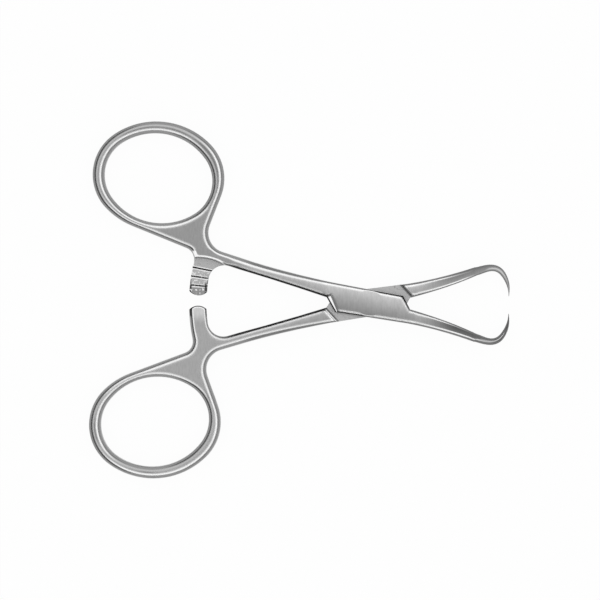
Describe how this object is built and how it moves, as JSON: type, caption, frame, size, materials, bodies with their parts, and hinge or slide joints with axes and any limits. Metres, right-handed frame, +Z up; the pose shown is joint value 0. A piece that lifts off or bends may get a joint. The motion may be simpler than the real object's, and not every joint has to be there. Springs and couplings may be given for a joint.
{
  "type": "towel clamp",
  "caption": "Small ring-handled surgical towel clamp with a box lock, ratchet shanks and inward-hooked sharp points, lying open and flat.",
  "frame": {"origin": "on the pivot axis, at the underside of the box, which is the face the clamp lies on", "axes": "+X towards the hooked points, +Y towards the box half's finger ring, +Z up out of the flat face, along the pivot"},
  "size_m": [0.0877, 0.0748, 0.0048],
  "materials": {
    "satin_steel": "satin"
  },
  "bodies": {
    "box_side": {"box_half": "satin_steel", "pivot_pin": "satin_steel"},
    "tongue_side": {"tongue_half": "satin_steel"}
  },
  "joints": [
    {"name": "box_lock", "type": "hinge", "parent": "box_side", "child": "tongue_side", "pos_m": [0, 0, 0], "axis": [0, 0, 1], "range_deg": [-7.1, 110]}
  ]
}
